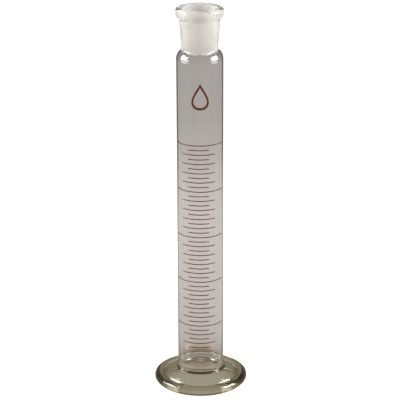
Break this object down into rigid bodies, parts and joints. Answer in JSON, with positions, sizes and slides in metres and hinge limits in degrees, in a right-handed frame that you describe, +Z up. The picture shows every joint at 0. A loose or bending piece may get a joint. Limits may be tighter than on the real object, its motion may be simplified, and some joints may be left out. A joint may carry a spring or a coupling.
{
  "type": "graduated cylinder",
  "caption": "Slim glass measuring cylinder on a round foot, with fired enamel graduations and a ground socket mouth for a stopper.",
  "frame": {"origin": "centre of the foot's underside, on the cylinder's axis", "axes": "+Z up the cylinder's axis; -Y through the middle of the scale; +X to the right of someone reading the scale"},
  "size_m": [0.0404, 0.0404, 0.1678],
  "materials": {
    "barrel_glass": "clear drawn soda-lime glass, fire polished",
    "foot_glass": "clear pressed glass with a faint olive tint, fire polished",
    "ground_glass": "clear glass outside, ground to a milky matt taper inside",
    "enamel": "reddish-brown fired enamel, satin"
  },
  "bodies": {
    "root": {"foot": "foot_glass", "barrel": "barrel_glass", "ground_socket": "ground_glass", "graduation_25_0_ml": "enamel", "graduation_24_5_ml": "enamel", "graduation_24_0_ml": "enamel", "graduation_23_5_ml": "enamel", "graduation_23_0_ml": "enamel", "graduation_22_5_ml": "enamel", "graduation_22_0_ml": "enamel", "graduation_21_5_ml": "enamel", "graduation_21_0_ml": "enamel", "graduation_20_5_ml": "enamel", "graduation_20_0_ml": "enamel", "graduation_19_5_ml": "enamel", "graduation_19_0_ml": "enamel", "graduation_18_5_ml": "enamel", "graduation_18_0_ml": "enamel", "graduation_17_5_ml": "enamel", "graduation_17_0_ml": "enamel", "graduation_16_5_ml": "enamel", "graduation_16_0_ml": "enamel", "graduation_15_5_ml": "enamel", "graduation_15_0_ml": "enamel", "graduation_14_5_ml": "enamel", "graduation_14_0_ml": "enamel", "graduation_13_5_ml": "enamel", "graduation_13_0_ml": "enamel", "graduation_12_5_ml": "enamel", "graduation_12_0_ml": "enamel", "graduation_11_5_ml": "enamel", "graduation_11_0_ml": "enamel", "graduation_10_5_ml": "enamel", "graduation_10_0_ml": "enamel", "graduation_09_5_ml": "enamel", "graduation_09_0_ml": "enamel", "graduation_08_5_ml": "enamel", "graduation_08_0_ml": "enamel", "graduation_07_5_ml": "enamel", "graduation_07_0_ml": "enamel", "graduation_06_5_ml": "enamel", "graduation_06_0_ml": "enamel", "graduation_05_5_ml": "enamel", "graduation_05_0_ml": "enamel", "graduation_04_5_ml": "enamel", "graduation_04_0_ml": "enamel", "graduation_03_5_ml": "enamel", "graduation_03_0_ml": "enamel", "graduation_02_5_ml": "enamel", "droplet_mark": "enamel"}
  },
  "joints": []
}
